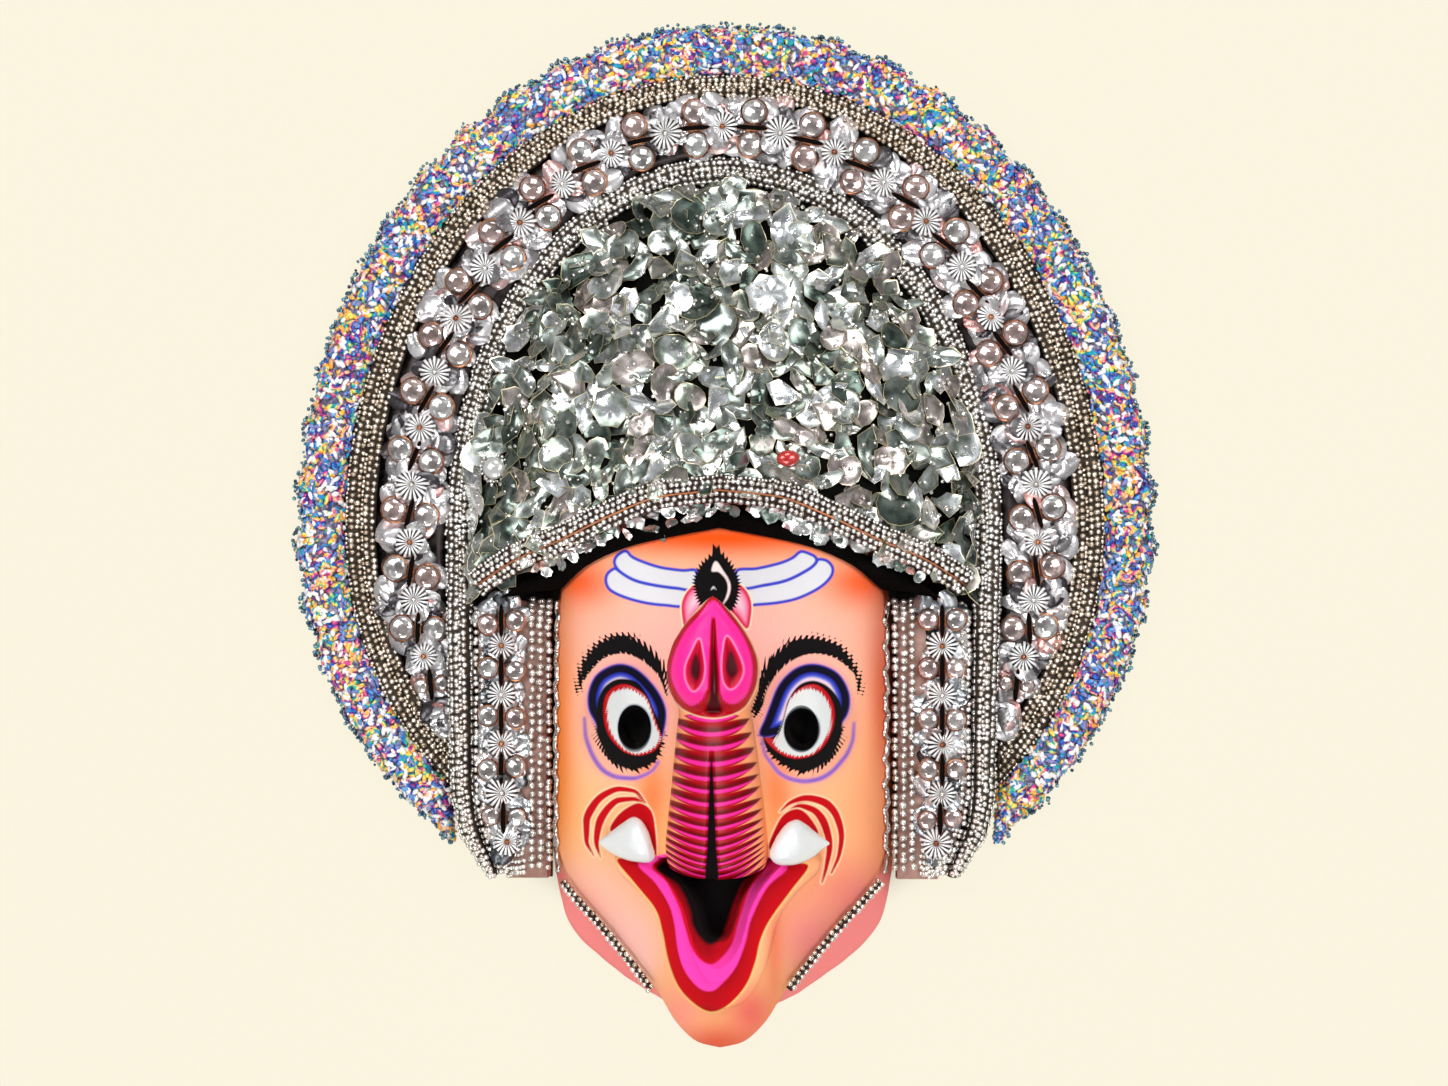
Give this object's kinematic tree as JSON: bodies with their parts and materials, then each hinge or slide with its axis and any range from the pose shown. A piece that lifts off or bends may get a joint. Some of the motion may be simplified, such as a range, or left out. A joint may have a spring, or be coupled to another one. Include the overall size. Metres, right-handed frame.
{
  "type": "chhau mask",
  "caption": "Elephant-faced papier-mache dance mask with a raised trunk, tusks and a wide beaded, tinsel-edged headdress, lying on its back.",
  "frame": {"origin": "on the floor, at the centre of the footprint of the mask as it lies on its back", "axes": "+Z out of the face, away from the floor; +Y towards the top of the headdress; +X to the right as a viewer looks at the face"},
  "size_m": [0.4748, 0.5578, 0.15],
  "materials": {
    "painted_face": "papier-mache painted orange to peach with painted features, glossy varnish",
    "white_enamel": "glossy white paint",
    "grey_card": "plain card and cloth",
    "rainbow_tinsel": "holographic plastic film",
    "silver_bead": "metallised plastic beads",
    "silver_foil": "silver foil, discs and flowers",
    "mirror_chips": "crumpled silver and grey-green foil chips",
    "black_cloth": "black hair cloth"
  },
  "bodies": {
    "root": {"face_shell": "painted_face", "tusk_left": "white_enamel", "tusk_right": "white_enamel", "halo_board": "grey_card", "tinsel_fringe": "rainbow_tinsel", "outer_bead_band": "silver_bead", "sequin_band": "silver_foil", "inner_bead_band": "silver_bead", "crown_dome": "mirror_chips", "brow_bead_band": "silver_bead", "hair_band": "black_cloth", "side_panel_left": "silver_foil", "side_panel_right": "silver_foil", "side_bead_rows_left": "silver_bead", "side_bead_rows_right": "silver_bead", "side_sequins_left": "silver_foil", "side_sequins_right": "silver_foil", "jaw_beads_left": "silver_bead", "jaw_beads_right": "silver_bead"}
  },
  "joints": []
}
